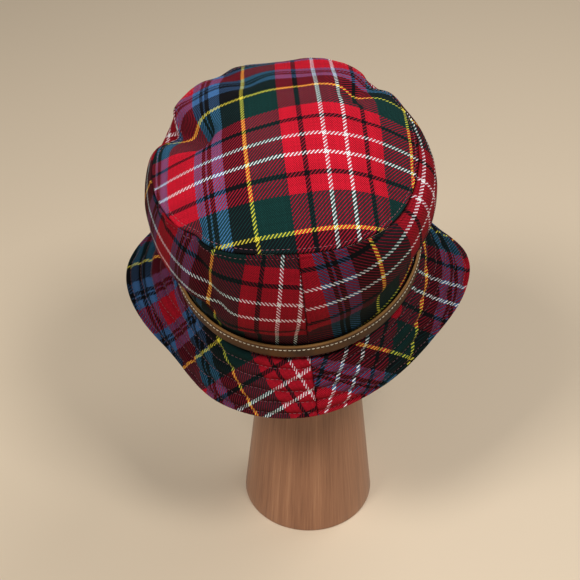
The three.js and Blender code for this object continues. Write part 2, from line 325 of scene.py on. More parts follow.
def makeShell(name, outer, inner, grain, material, closesRound=False, closesPole=False):
    # outer and inner faces of one panel on the same grid, joined by strips along its edges
    rows, columns = outer.shape[:2]
    count = rows * columns
    vertices = np.concatenate([outer.reshape(-1, 3), inner.reshape(-1, 3)])
    uv = np.concatenate([grain.reshape(-1, 2)] * 2)
    faces = [gridFaces(rows, columns, closesRound, start, start > 0) for start in (0, count)]
    i = np.arange(rows if closesRound else rows - 1)
    first, second = i * columns, (i + 1) % rows * columns
    faces.append(np.stack([second, first, first + count, second + count], -1))
    if not closesPole:
        last = columns - 1
        faces.append(np.stack([first + last, second + last, second + last + count, first + last + count], -1))
    if not closesRound:
        low = np.arange(columns - 1)
        high = low + (rows - 1) * columns
        faces.append(np.stack([low, low + 1, low + 1 + count, low + count], -1))
        faces.append(np.stack([high + 1, high, high + count, high + 1 + count], -1))
    return makeMesh(name, vertices, np.concatenate(faces), uv, material)


def closePoles(piece):
    # places of the grid that fall together become one
    work = bmesh.new()
    work.from_mesh(piece.data)
    bmesh.ops.remove_doubles(work, verts=work.verts[:], dist=1e-7)
    work.to_mesh(piece.data)
    work.free()


print("shape functions ready")


def linear(hexColour):
    # sRGB hex to linear light
    values = [int(hexColour[k:k + 2], 16) / 255 for k in (0, 2, 4)]
    return tuple(v / 12.92 if v <= 0.04045 else ((v + 0.055) / 1.055) ** 2.4 for v in values) + (1.0,)


def newMaterial(name):
    # an empty material, and the function that adds nodes to it
    material = bpy.data.materials.new(name)
    material.use_nodes = True
    material.node_tree.nodes.clear()
    return material, functools.partial(addNode, material.node_tree)


def addNode(tree, kind, settings=None, links=None):
    # adds one shader node; settings are its properties or its inputs' values, links its inputs'
    # sources, where a node stands for its first output
    node = tree.nodes.new("ShaderNode" + kind)
    for key, value in (settings or {}).items():
        if isinstance(key, str) and hasattr(node, key):
            setattr(node, key, value)
        else:
            node.inputs[key].default_value = value
    for key, source in (links or {}).items():
        tree.links.new(getattr(source, "outputs", [source])[0], node.inputs[key])
    return node


def setRamp(node, stops, interpolation):
    ramp = node.color_ramp
    ramp.interpolation = interpolation
    while len(ramp.elements) > 1:
        ramp.elements.remove(ramp.elements[-1])
    ramp.elements[0].position = stops[0][0]
    ramp.elements[0].color = stops[0][1]
    for position, colour in stops[1:]:
        element = ramp.elements.new(position)
        element.color = colour


# Woollen tartan twill: matt, slightly hairy cloth. Each thread is one colour and floats over two and under
# two, so crossings of unlike colours turn into fine slanted ticks, with painted shade in the gaps between
# them.
tartan = {
    "threadPitch": 0.671,  # millimetres from one thread to the next
    "colours": {
        "red": "d0152c",
        "white": "f4f1ee",
        "black": "0d0c10",
        "green": "0f3632",
        "yellow": "f2de44",
        "blue": "4a79b0",
    },
    # half the sett in threads, mirrored at both ends: the thread that each stripe ends at
    "halfSett": [
        (9, "red"), (13, "white"), (30, "red"), (34, "black"), (51, "red"),
        (87, "green"), (91, "yellow"), (112, "black"), (125, "blue"), (129, "black"),
        (132, "blue"), (136, "black"), (145, "blue"), (161, "red"),
    ],
    "fineLines": ("white", "yellow"),
    # the tip is pulled smooth; wall and brim are slacker, and their fine lines draw together; the broad
    # stripes of wall and brim are darkened as painted shade, and each panel gets painted shade in its
    # hollows, deepest on the wall
    "panels": {
        "tip": {"slant": -1, "paintedShade": 1.0, "bleed": 0.17, "lineLoss": 0, "paintedHollowShade": 0.65},
        "wall": {"slant": 1, "paintedShade": 0.48, "bleed": 0.20, "lineLoss": 1, "paintedHollowShade": 0.10},
        "brim": {"slant": -1, "paintedShade": 0.60, "bleed": 0.20, "lineLoss": 1, "paintedHollowShade": 0.20},
    },
    "paleShield": 0.8,  # how much less a pale thread is dulled by the one below
    "gapShade": 0.12,
    "floatShade": 1.36,
    "dimple": 0.35,
    "paintedHollowReach": 30.0,
    "threadUnevenness": (0.86, 1.12),
    "fibreUnevenness": (0.84, 1.14),
    "napUnevenness": (0.92, 1.07),
    "weftDraw": 5000.5,  # the weft's random shades are drawn this many threads away from the warp's
    "threadBump": 0.16,
    "fibreBump": 0.4,
    "roughness": 0.9,
}


def settStops(panel):
    # the stripes of half a sett as places and colours; the broad stripes take the panel's painted shade, the
    # fine lines keep their lightness and lose threads
    half = tartan["halfSett"][-1][0]
    stops = []
    start = 0
    for end, colour in tartan["halfSett"]:
        fineLine = colour in tartan["fineLines"]
        tone = linear(tartan["colours"][colour])
        paintedShadeTone = tuple(v * panel["paintedShade"] for v in tone[:3]) + (1.0,)
        stops.append((start / half, tone if fineLine else paintedShadeTone))
        start = end - panel["lineLoss"] if fineLine else end
    return stops


def tartanTwill(part):
    # slant 1 lays the twill's ridges one way, -1 the other; the panel's painted shade factor darkens the
    # broad stripes
    panel = tartan["panels"][part]
    material, add = newMaterial("tartan_twill_of_the_" + part)
    slant = float(panel["slant"])
    half = float(tartan["halfSett"][-1][0])
    stops = settStops(panel)
    grain = add("UVMap", {"uv_map": "grain"})
    threads = add("VectorMath",
                  {"operation": "SCALE", "Scale": 1 / (tartan["threadPitch"] * millimetre)},
                  {0: grain})
    number = add("VectorMath", {"operation": "FLOOR"}, {0: threads})
    within = add("VectorMath", {"operation": "FRACTION"}, {0: threads})
    threadParts = add("SeparateXYZ", {}, {0: threads})
    numberParts = add("SeparateXYZ", {}, {0: number})
    withinParts = add("SeparateXYZ", {}, {0: within})
    colours, backs = [], []
    for k, draw in ((0, 0.0), (1, tartan["weftDraw"])):
        centre = add("Math", {"operation": "ADD", 1: 0.5}, {0: numberParts.outputs[k]})
        mirrored = add("Math", {"operation": "PINGPONG", 1: half}, {0: centre})
        share = add("Math", {"operation": "DIVIDE", 1: half}, {0: mirrored})
        stripe = add("ValToRGB", {}, {0: share})
        setRamp(stripe, stops, "CONSTANT")
        drawn = add("Math", {"operation": "ADD", 1: draw}, {0: centre})
        chance = add("TexWhiteNoise", {"noise_dimensions": "1D"}, {"W": drawn})
        low, high = tartan["threadUnevenness"]
        shade = add("MapRange", {"From Min": 0.25, "From Max": 0.75, "To Min": low, "To Max": high},
                    {"Value": chance.outputs["Value"]})
        tinted = add("HueSaturation", {}, {"Color": stripe, "Value": shade})
        colours.append(tinted)
        # a thread's round back: 4x(1 - x) across it
        across = withinParts.outputs[k]
        square = add("Math", {"operation": "MULTIPLY"}, {0: across, 1: across})
        rise = add("Math", {"operation": "SUBTRACT"}, {0: across, 1: square})
        back = add("Math", {"operation": "MULTIPLY", 1: 4.0}, {0: rise})
        backs.append(back)
    # warp thread i passes over weft thread j where (i + slant * j) mod 4 is below 2
    diagonal = add("Math", {"operation": "MULTIPLY_ADD", 1: slant},
                   {0: numberParts.outputs[1], 2: numberParts})
    ofFour = add("Math", {"operation": "FLOORED_MODULO", 1: 4.0}, {0: diagonal})
    onTop = add("Math", {"operation": "LESS_THAN", 1: 1.5}, {0: ofFour})
    upper = add("Mix", {"data_type": "RGBA"}, {"Factor": onTop, 6: colours[1], 7: colours[0]})
    lower = add("Mix", {"data_type": "RGBA"}, {"Factor": onTop, 6: colours[0], 7: colours[1]})
    back = add("Mix", {"data_type": "FLOAT"}, {"Factor": onTop, 2: backs[1], 3: backs[0]})
    # light wanders between the wool fibres, so a dark thread below dulls the one above it:
    # upper^(1 - w) * lower^w, where w falls from bleed to a fifth of it as the upper thread gets paler
    paleness = add("RGBToBW", {}, {0: upper.outputs[2]})
    weight = add("Math",
                 {"operation": "MULTIPLY_ADD", 1: -tartan["paleShield"] * panel["bleed"], 2: panel["bleed"]},
                 {0: paleness})
    rest = add("Math", {"operation": "SUBTRACT", 0: 1.0}, {1: weight})
    upperPart = add("Gamma", {}, {0: upper.outputs[2], 1: rest})
    lowerPart = add("Gamma", {}, {0: lower.outputs[2], 1: weight})
    cloth = add("Mix", {"data_type": "RGBA", "blend_type": "MULTIPLY", "Factor": 1.0},
                {6: upperPart, 7: lowerPart})
    # the floats line up in ridges, 0.5 + 0.5 cos(pi (u + slant * v - 1 - 0.5 slant)), dimpled by each back
    slope = add("Math", {"operation": "MULTIPLY_ADD", 1: slant},
                {0: threadParts.outputs[1], 2: threadParts})
    phase = add("Math", {"operation": "MULTIPLY_ADD", 1: math.pi, 2: -math.pi * (1 + 0.5 * slant)},
                {0: slope})
    wave = add("Math", {"operation": "COSINE"}, {0: phase})
    ridge = add("Math", {"operation": "MULTIPLY_ADD", 1: 0.5, 2: 0.5}, {0: wave})
    dimple = add("Math", {"operation": "MULTIPLY_ADD", 1: tartan["dimple"], 2: 1 - tartan["dimple"]},
                 {0: back})
    height = add("Math", {"operation": "MULTIPLY"}, {0: ridge, 1: dimple})
    # painted shade in the gaps between threads and painted highlight on the floats' crests: the colour is
    # scaled from gapShade to floatShade by the height
    depth = add("MapRange",
                {"From Max": 0.75, "To Min": tartan["gapShade"], "To Max": tartan["floatShade"]},
                {"Value": height})
    # painted shade: ambient occlusion darkens the colour in hollows a few centimetres wide, down to the
    # panel's share
    openness = add("AmbientOcclusion", {"samples": 6, "Distance": tartan["paintedHollowReach"] * millimetre})
    paintedHollowFactor = add("MapRange",
                  {"From Min": 0.25, "From Max": 0.85, "To Min": panel["paintedHollowShade"], "To Max": 1.0},
                  {"Value": openness.outputs["AO"]})
    value = add("Math", {"operation": "MULTIPLY"}, {0: depth, 1: paintedHollowFactor})
    # short wool fibres of 0.3 mm, and broad unevenness of the dye and nap of 30 mm
    place = add("TexCoord").outputs["Object"]
    fibres = add("TexNoise", {"Scale": 3200.0, "Detail": 3.0, "Roughness": 0.6},
                 {"Vector": place})
    nap = add("TexNoise", {"Scale": 34.0, "Detail": 2.0}, {"Vector": place})
    for noise, (low, high) in ((fibres, tartan["fibreUnevenness"]), (nap, tartan["napUnevenness"])):
        factor = add("MapRange", {"From Min": 0.25, "From Max": 0.75, "To Min": low, "To Max": high},
                     {"Value": noise})
        value = add("Math", {"operation": "MULTIPLY"}, {0: value, 1: factor})
    hairy = add("HueSaturation", {}, {"Color": cloth.outputs[2], "Value": value})
    relief = add("Math", {"operation": "MULTIPLY_ADD", 1: tartan["fibreBump"]}, {0: fibres, 2: height})
    bump = add("Bump", {"Strength": 0.7, "Distance": tartan["threadBump"] * millimetre},
               {"Height": relief})
    surface = add("BsdfPrincipled", {"Roughness": tartan["roughness"], "Specular IOR Level": 0.12},
                  {"Base Color": hairy, "Normal": bump})
    add("OutputMaterial", {}, {"Surface": surface})
    return material


# Vegetable-tanned leather strap: brown, waxed, fine pores, a paler upper lip along its top edge.
strapFinish = {
    "dark": "341c05",
    "light": "5e390f",
    "lip": "8d6433",
    "lipFrom": 0.90,  # shares of the strap's height
    "lipTo": 0.99,
    "poreDepth": 0.08,
}


def strapLeather():
    material, add = newMaterial("brown_strap_leather")
    place = add("TexCoord").outputs["Object"]
    # patches of 17 mm, pores of 0.7 mm and creases of 1.4 mm
    mottle = add("TexNoise", {"Scale": 60.0, "Detail": 4.0}, {"Vector": place})
    pores = add("TexVoronoi", {"Scale": 1400.0}, {"Vector": place})
    creases = add("TexNoise", {"Scale": 700.0, "Detail": 3.0}, {"Vector": place})
    tone = add("ValToRGB", {}, {0: mottle})
    setRamp(tone, [(0.3, linear(strapFinish["dark"])), (0.7, linear(strapFinish["light"]))], "LINEAR")
    # the grain map's second coordinate runs up the strap from 0 to 1
    grain = add("UVMap", {"uv_map": "grain"})
    up = add("SeparateXYZ", {}, {0: grain})
    lip = add("MapRange", {"From Min": strapFinish["lipFrom"], "From Max": strapFinish["lipTo"]},
              {"Value": up.outputs[1]})
    paleLip = add("Mix", {"data_type": "RGBA", 7: linear(strapFinish["lip"])}, {"Factor": lip, 6: tone})
    relief = add("Math", {"operation": "ADD"}, {0: pores, 1: creases})
    bump = add("Bump", {"Strength": 0.5, "Distance": strapFinish["poreDepth"] * millimetre},
               {"Height": relief})
    surface = add("BsdfPrincipled", {"Roughness": 0.55, "Specular IOR Level": 0.3},
                  {"Base Color": paleLip.outputs[2], "Normal": bump})
    add("OutputMaterial", {}, {"Surface": surface})
    return material


# Spun polyester sewing thread: a soft gleam and a fine twist of 0.4 mm.
def sewingThread(name, colour):
    material, add = newMaterial(name)
    place = add("TexCoord").outputs["Object"]
    twist = add("TexNoise", {"Scale": 2500.0, "Detail": 1.0}, {"Vector": place})
    shade = add("MapRange", {"To Min": 0.75, "To Max": 1.2}, {"Value": twist})
    tone = add("HueSaturation", {"Color": linear(colour)}, {"Value": shade})
    surface = add("BsdfPrincipled", {"Roughness": 0.6, "Sheen Weight": 0.1}, {"Base Color": tone})
    add("OutputMaterial", {}, {"Surface": surface})
    return material


# Walnut-toned wood veneer, sanded and satin lacquered: upright fibres and broader figure under a soft gleam.
woodFinish = {
    "tones": [(0.25, "784c31"), (0.42, "9b6848"), (0.58, "ad7855"), (0.76, "bf8e68")],
    "circle": 45.0,  # the fibres are laid out round a circle of this radius, so that they follow the taper
    "climb": 0.02,  # how fast they change with height, next to how fast they change across
    "fibreDepth": 0.12,
}


def satinWalnut():
    material, add = newMaterial("satin_walnut")
    place = add("TexCoord").outputs["Object"]
    flat = add("VectorMath", {"operation": "MULTIPLY", 1: (1, 1, 0)}, {0: place})
    turn = add("VectorMath", {"operation": "NORMALIZE"}, {0: flat})
    circle = add("VectorMath", {"operation": "SCALE", "Scale": woodFinish["circle"] * millimetre},
                 {0: turn})
    climb = add("VectorMath", {"operation": "MULTIPLY", 1: (0, 0, woodFinish["climb"])},
                {0: place})
    fine = add("VectorMath", {"operation": "ADD"}, {0: circle, 1: climb})
    # fibres of 0.9 mm and figure of 6 mm
    fibres = add("TexNoise", {"Scale": 1100.0, "Detail": 3.0, "Roughness": 0.6}, {"Vector": fine})
    figure = add("TexNoise", {"Scale": 170.0, "Detail": 2.0}, {"Vector": fine})
    both = add("Mix", {"data_type": "FLOAT", "Factor": 0.45}, {2: fibres, 3: figure})
    tone = add("ValToRGB", {}, {0: both})
    setRamp(tone, [(stop, linear(colour)) for stop, colour in woodFinish["tones"]], "LINEAR")
    bump = add("Bump", {"Strength": 0.25, "Distance": woodFinish["fibreDepth"] * millimetre},
               {"Height": fibres})
    surface = add("BsdfPrincipled", {"Roughness": 0.5, "Coat Weight": 0.35, "Coat Roughness": 0.28},
                  {"Base Color": tone, "Normal": bump})
    add("OutputMaterial", {}, {"Surface": surface})
    return material


tipTwill = tartanTwill("tip")
wallTwill = tartanTwill("wall")
brimTwill = tartanTwill("brim")
leather = strapLeather()
seamThread = sewingThread("rose_sewing_thread", "93575c")
brimThread = sewingThread("dull_rose_sewing_thread", "8d5b60")
creamThread = sewingThread("cream_sewing_thread", "e4d9bd")
walnut = satinWalnut()
print("materials ready")

# How each panel was laid on the cloth: turn in degrees, shift in millimetres from the sett's middle,
# and how much the cloth gave each way.
grainOf = {
    "tip": {"turn": -5.2, "shift": (-14.9577, 20.9681), "give": (0.976, 0.981)},
    "sideRight": {"turn": -6.0, "shift": (-116.3149, -63.3824), "give": (0.908, 0.884)},
    "sideLeft": {"turn": 7.7, "shift": (19.807, -55.5279), "give": (1.066, 0.929)},
    "brimRight": {"turn": 24.4, "shift": (-35.9258, -72.3297), "give": (1.061, 1.008)},
    "brimLeft": {"turn": -25.1, "shift": (12.2257, 19.9436), "give": (1.190, 1.029)},
}


def laidOnCloth(x, y, panel):
    # turn, stretch and shift a flat place in millimetres to the cloth's threads, in metres
    lay = grainOf[panel]
    turn = math.radians(lay["turn"])
    u = (math.cos(turn) * x - math.sin(turn) * y) * lay["give"][0] + lay["shift"][0]
    v = (math.sin(turn) * x + math.cos(turn) * y) * lay["give"][1] + lay["shift"][1]
    return np.stack([u, v], -1) * millimetre


# The crown's sewn seams, in millimetres.
seamStyle = {
    "hairline": 0.03,  # left open on each side of the front and back seams
    "sink": 0.9, "sinkWidth": 0.7,
    "roll": 0.55, "rollIn": 1.7, "rollWidth": 1.1,
    "stitchIn": 3.0, "stitchSink": 0.35, "stitchWidth": 0.6,
    "pucker": 0.45, "puckerLength": 6.0, "puckerWidth": 5.0,
    "layerStep": 9.0, "tipSeed": 3,
    "slackIn": 12.0,  # the cloth is fully slack this far from the tip's seam
    "sideSlackIn": 8.0,  # and this far from the front and back seams
    "innerShare": 0.5,  # how much of the relief the inner face follows
}

# Broad soft unevenness of unstiffened cloth: depth and size in millimetres, seed.
clothWaves = ((0.9, 34.0, 11), (0.45, 17.0, 12), (0.16, 7.0, 13))


def seamRelief(away, along, seed):
    # a sewn seam's section: the seam sinks, the turned-in cloth rolls beside it, the stitch row bites in
    # and puckers the cloth along its length
    waves = flatNoise(along, 0.0, seamStyle["layerStep"] * seed, seamStyle["puckerLength"], seed)
    fromRow = away - seamStyle["stitchIn"]
    relief = -seamStyle["sink"] * hump(away, seamStyle["sinkWidth"])
    relief += seamStyle["roll"] * hump(away - seamStyle["rollIn"], seamStyle["rollWidth"])
    relief -= seamStyle["stitchSink"] * hump(fromRow, seamStyle["stitchWidth"])
    relief += seamStyle["pucker"] * waves * hump(fromRow, seamStyle["puckerWidth"])
    return relief


# The wall was eased into the tip with small gathers at the front left.
gathers = {
    "angle": 308.0,
    "spread": 20.0,
    "depth": 2.2,
    "length": 5.5,
    "reach": 12.0,
    "straightness": 0.3, "layer": 70.0, "seed": 51,
    "onTip": 0.6,
}


def gathered(angle, around, fromSeam):
    # ridges across the seam, fading with distance from it and from the place where they are deepest
    layer, length, seed = (gathers[key] for key in ("layer", "length", "seed"))
    ridges = flatNoise(around, gathers["straightness"] * fromSeam, layer, length, seed)
    fading = hump(angle % 360 - gathers["angle"], gathers["spread"]) * hump(fromSeam, gathers["reach"])
    return gathers["depth"] * ridges * fading * smoothStep(0, 2, fromSeam)


def crownNormal(angle, level, levelStep):
    return faceNormal(crownPoint, angle, level, levelStep, 2)


def crownFaces(face, normal, relief):
    # the outer face takes the relief, the inner one follows a share of it, a cloth's thickness below
    outer = face + normal * relief[..., None]
    inner = face + normal * (seamStyle["innerShare"] * relief - hatSize["crownCloth"])[..., None]
    return onSeat(outer), onSeat(inner)


tipPanel = {
    "roundCount": 420,
    "outCount": 96,
    "crowding": 0.8,  # crowds the grid's rings towards the seam
    "normalStep": 0.03,
    "sharedNormal": (1.9, 1.985),  # between these levels the columns come to share one normal
}


def makeTip():
    # a polar grid from the seam to the tip's middle
    angle = hatSize["seamAngle"] + np.linspace(0, 360, tipPanel["roundCount"], endpoint=False)
    share = np.linspace(0, 1, tipPanel["outCount"]) ** tipPanel["crowding"]
    seamShare = 0.5 * hatSize["seamGap"] / (hatSize["headHalfWidth"] + hatSize["tipRise"])
    angle, level = np.meshgrid(angle, (2 - share * (1 - seamShare))[::-1], indexing="ij")
    face = crownPoint(angle, level)
    normal = crownNormal(angle, np.minimum(level, 2 - tipPanel["normalStep"]), tipPanel["normalStep"])
    shared = smoothStep(*tipPanel["sharedNormal"], level)[..., None]
    normal = normal * (1 - shared) + normal[:, -1].mean(axis=0) * shared
    fromSeam = lengthAlong(smoothCrown, angle, level)
    fromMiddle = fromSeam[:, -1:] - fromSeam
    outwards = unit(smoothCrown(angle[:, 0], 1.0)[:, :2] - np.array(hatSize["tipCentre"]))
    grain = laidOnCloth(fromMiddle * outwards[:, None, 0], fromMiddle * outwards[:, None, 1], "tip")
    around = aroundHead(angle)
    relief = seamRelief(fromSeam, around, seamStyle["tipSeed"])
    relief += unevenness(face, clothWaves) * smoothStep(0, seamStyle["slackIn"], fromSeam)
    relief += gathers["onTip"] * gathered(angle, around, fromSeam)
    outer, inner = crownFaces(face, normal, relief)
    piece = makeShell("tip_panel", outer, inner, grain, tipTwill, closesRound=True, closesPole=True)
    closePoles(piece)
    return piece


tip = makeTip()
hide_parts("crown_tip")
print("tip made")

sidePanel = {
    "roundCount": 300,
    "upCount": 96,
    "normalStep": 0.03,
    "spread": 1.1,  # the wall's cloth is this much longer round than the head line
}

# The wall is gathered a little into the band: shallow upright pleats that fade upwards.
pleats = {"depth": 1.1, "length": 9.0, "level": 0.22, "reach": 0.14, "layer": 40.0, "seed": 21}


def halfRound(startAngle, count):
    # angles of one half of the hat, from seam to seam less a hairline
    margin = math.degrees(seamStyle["hairline"] / hatSize["headHalfWidth"])
    return np.linspace(startAngle + margin, startAngle + 180 - margin, count)


def makeSide(name, startAngle, panel, seed):
    # a grid round half the head and up the wall
    angle = halfRound(startAngle, sidePanel["roundCount"])
    top = 1 - 0.5 * hatSize["seamGap"] / hatSize["crownHeight"]
    angle, level = np.meshgrid(angle, np.linspace(0, top, sidePanel["upCount"]), indexing="ij")
    face = crownPoint(angle, level)
    normal = crownNormal(angle, level, sidePanel["normalStep"])
    up = lengthAlong(smoothCrown, angle, level)
    fromTip = up[:, -1:] - up
    around = aroundHead(angle)
    fromSeam = besideSeam(around)
    x = around if panel == "sideRight" else around - wholeRound
    grain = laidOnCloth(sidePanel["spread"] * x, up, panel)
    free = aboveBand(level, hatSize["bandHold"])
    relief = seamRelief(fromTip, around, seamStyle["tipSeed"]) + seamRelief(fromSeam, up, seed) * free
    slack = smoothStep(0, seamStyle["slackIn"], fromTip) * smoothStep(0, seamStyle["sideSlackIn"], fromSeam)
    relief += unevenness(face, clothWaves) * free * slack
    relief += gathered(angle, around, fromTip)
    folds = flatNoise(around, 0.0, pleats["layer"], pleats["length"], pleats["seed"])
    relief += pleats["depth"] * folds * hump(level - pleats["level"], pleats["reach"]) * free
    outer, inner = crownFaces(face, normal, relief)
    return makeShell(name, outer, inner, grain, wallTwill)


sideRight = makeSide("side_panel_right", hatSize["seamAngle"], "sideRight", 5)
sideLeft = makeSide("side_panel_left", hatSize["seamAngle"] + 180, "sideLeft", 6)
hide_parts("crown_side_right")
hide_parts("crown_side_left")
print("crown made")

brimPanel = {
    "roundCount": 420,
    "outCount": 84,
    "edgeCount": 7,
    "normalStep": 0.02,
    "rowsFromEdge": [3.5, 12.5, 21.5, 30.5, 39.5, 48.0],
    "rowSink": 0.7, "rowWidth": 0.9,
    "swell": 1.5, "channelWidth": 2.6,
    "pucker": 1.15, "puckerLength": 6.5, "puckerWidth": 3.0, "puckerSeed": 33,
    "waves": ((0.7, 40.0, 31), (0.245, 15.0, 32)),
    "seamSink": 0.7, "seamSinkWidth": 0.7,
    "seamRoll": 0.35, "seamRollIn": 2.0, "seamRollWidth": 1.3,
    "edgeCalm": (-1.0, 3.0),  # the relief fades in between these distances from the edge
    "underShare": 0.6,  # how much of the relief the lower face follows
}
edgeShare = 0.5 * hatSize["brimCloth"] / brimDepth  # of the brim's depth that its turned edge takes


def brimNormal(angle, share):
    return -faceNormal(brimPoint, angle, share, brimPanel["normalStep"], 1)


def brimRelief(face, angle, fromEdge):
    # soft waves of the stiffened brim, and its quilting: each stitched row sinks, the cloth swells between
    around = aroundHead(angle)
    fromSeam = besideSeam(around)
    # half the swell is the mean depth of the channels, so the brim keeps its place
    relief = unevenness(face, brimPanel["waves"]) + 0.5 * brimPanel["swell"]
    puckers = flatNoise(around, 0.5 * fromEdge, 0.0, brimPanel["puckerLength"], brimPanel["puckerSeed"])
    for row in brimPanel["rowsFromEdge"]:
        relief -= brimPanel["rowSink"] * hump(fromEdge - row, brimPanel["rowWidth"])
        relief -= brimPanel["swell"] * hump(fromEdge - row, brimPanel["channelWidth"])
        relief += brimPanel["pucker"] * puckers * hump(fromEdge - row, brimPanel["puckerWidth"])
    relief -= brimPanel["seamSink"] * hump(fromSeam, brimPanel["seamSinkWidth"])
    relief += brimPanel["seamRoll"] * hump(fromSeam - brimPanel["seamRollIn"], brimPanel["seamRollWidth"])
    return relief * smoothStep(*brimPanel["edgeCalm"], fromEdge)


def ringRadius():
    # cut flat, the brim is part of a ring; its inner radius follows from how much longer its edge is
    edgeLength = lengthTo(brimPoint(np.linspace(0, 360, 721), 1.0))[-1]
    return wholeRound / ((edgeLength - wholeRound) / hatSize["brimWidth"])


def makeBrim(name, startAngle, panel):
    # a grid round half the head and in from the edge
    flat = np.linspace(0, 1 - edgeShare, brimPanel["outCount"])
    rounded = 1 - edgeShare + edgeShare * np.sin(np.linspace(0, np.pi / 2, brimPanel["edgeCount"]))[1:]
    share = np.concatenate([flat, rounded])[::-1]
    angle, share = np.meshgrid(halfRound(startAngle, brimPanel["roundCount"]), share, indexing="ij")
    face = brimPoint(angle, share)
    normal = brimNormal(angle, share)
    relief = brimRelief(face, angle, (1 - share) * brimDepth)
    # half the thickness falls as a circle's height towards the turned edge
    cloth = hatSize["brimCloth"]
    half = 0.5 * cloth * np.sqrt(1 - np.clip((share - 1 + edgeShare) / edgeShare, 0, 1) ** 2)
    around = aroundHead(angle)
    x = around if panel == "brimRight" else around - wholeRound
    flatRadius = ringRadius()
    turn = x / flatRadius
    radius = flatRadius + share * hatSize["brimWidth"]
    grain = laidOnCloth(radius * np.sin(turn), flatRadius - radius * np.cos(turn), panel)
    middle = face - normal * 0.5 * cloth
    outer = onSeat(middle + normal * (half + relief)[..., None])
    inner = onSeat(middle + normal * (brimPanel["underShare"] * relief - half)[..., None])
    piece = makeShell(name, outer, inner, grain, brimTwill)
    closePoles(piece)
    return piece


brimRight = makeBrim("brim_panel_right", hatSize["seamAngle"], "brimRight")
brimLeft = makeBrim("brim_panel_left", hatSize["seamAngle"] + 180, "brimLeft")
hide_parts("brim_right")
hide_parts("brim_left")
print("brim made")

strap = {
    "roundCount": 300,
    "sectionCount": 56,
    "squareness": 0.32,  # 1 would be an oval section, 0 a sharp rectangle
    "bulge": 0.25,
    "stitchHeight": 7.3, "stitchSink": 0.25, "stitchWidth": 0.7,
    "sway": 0.25, "swayLength": 26.0, "swaySeed": 41,
}


def strapSection():
    # a rounded rectangle in out and up, faces bulging by 1 - (2s - 1)^2, and the share of its height
    turn = np.linspace(0, 2 * np.pi, strap["sectionCount"], endpoint=False)
    across, upward = (np.sign(v) * np.abs(v) ** strap["squareness"] for v in (np.cos(turn), np.sin(turn)))
    out = strapInside + 0.5 * hatSize["bandLeather"] * (1 + across)
    up = -hatSize["bandDrop"] + 0.5 * hatSize["bandHeight"] * (1 + upward)
    bulge = strap["bulge"] * (1 - upward**2)
    bulge -= strap["stitchSink"] * hump(up - strap["stitchHeight"], strap["stitchWidth"])
    return out + bulge * np.clip(across, 0, 1), up, 0.5 * (1 + upward)


def strapSway(angle):
    # the loop's slight wander along its length
    return strap["sway"] * flatNoise(aroundHead(angle), 0.0, 0.0, strap["swayLength"], strap["swaySeed"])


def makeStrap():
    # the section carried round the head line
    out, up, height = (np.append(v, v[0]) for v in strapSection())
    angle = np.linspace(0, 360, strap["roundCount"], endpoint=False)
    angle, out = np.meshgrid(angle, out, indexing="ij")
    sway = strapSway(angle)
    face = onSeat(headLine(angle, out + np.abs(sway), up + sway))
    grain = np.stack(np.broadcast_arrays(aroundHead(angle) * millimetre, height), -1)
    faces = gridFaces(*angle.shape, True, 0, False)
    piece = makeMesh("hat_strap", face.reshape(-1, 3), faces, grain.reshape(-1, 2), leather)
    closePoles(piece)
    return piece


hatStrap = makeStrap()
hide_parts("hat_band")
print("leather strap made")

# Stitches in millimetres: the distance from one to the next, and each one's length, radius and arch.
crownStitch = {"spacing": 3.4, "length": 2.5, "radius": 0.20, "arch": 0.22}
brimStitch = {"spacing": 3.4, "length": 2.6, "radius": 0.15, "arch": 0.20}
strapStitch = {"spacing": 3.3, "length": 2.5, "radius": 0.30, "arch": 0.30}
stitchShape = {"rings": 5, "sides": 6, "dip": 0.45, "thinEnd": 0.08, "lift": 0.05, "normalStep": 0.02}
brimStitchMargin = 0.6  # degrees kept free beside the seams


def stitchRow(place, normal, thread):
    # one little arched roll of thread for each place along a row: its axis rises and dives back as
    # arch * (1 - (2s - 1)^2), its girth shrinks as the root of 1 - (2s - 1)^4 towards its ends
    rings, sides = stitchShape["rings"], stitchShape["sides"]
    length, radius, arch = (thread[key] * millimetre for key in ("length", "radius", "arch"))
    points = onSeat(place)
    normals = unit(onSeat(place + normal) - points)
    ahead = unit(np.roll(points, -1, axis=0) - np.roll(points, 1, axis=0))
    sideways = np.cross(normals, ahead)
    s = np.linspace(0, 1, rings)
    run = ((s - 0.5) * length)[None, :, None]
    rise = (arch * (1 - (2 * s - 1) ** 2) - stitchShape["dip"] * arch)[None, :, None]
    centre = points[:, None] + ahead[:, None] * run + normals[:, None] * rise
    girth = radius * np.sqrt(np.clip(1 - (2 * s - 1) ** 4, stitchShape["thinEnd"], 1))
    turn = np.linspace(0, 2 * np.pi, sides, endpoint=False)[:, None]
    spoke = np.cos(turn) * sideways[:, None, None, :] + np.sin(turn) * normals[:, None, None, :]
    vertices = centre[:, :, None] + spoke * girth[None, :, None, None]
    k = np.arange(len(points))[:, None, None] * rings * sides
    i = np.arange(rings - 1)[None, :, None] * sides
    j = np.arange(sides)[None, None, :]
    m = (j + 1) % sides
    corners = (k + i + j, k + i + m, k + i + sides + m, k + i + sides + j)
    faces = [np.stack(np.broadcast_arrays(*corners), -1).reshape(-1, 4)]
    for ring, order in ((0, [0, 3, 2, 1]), (rings - 1, [0, 1, 2, 3])):
        for four in ((0, 1, 2, 3), (0, 3, 4, 5)):
            faces.append((k[:, 0] + ring * sides + np.array(four))[:, order])
    return vertices.reshape(-1, 3), np.concatenate(faces)


def evenly(face, angles, spacing):
    # angles that divide a row into equal lengths near the spacing asked for
    length = lengthTo(face(angles))
    count = max(2, int(round(length[-1] / spacing)))
    return np.interp((np.arange(count) + 0.5) / count * length[-1], length, angles)


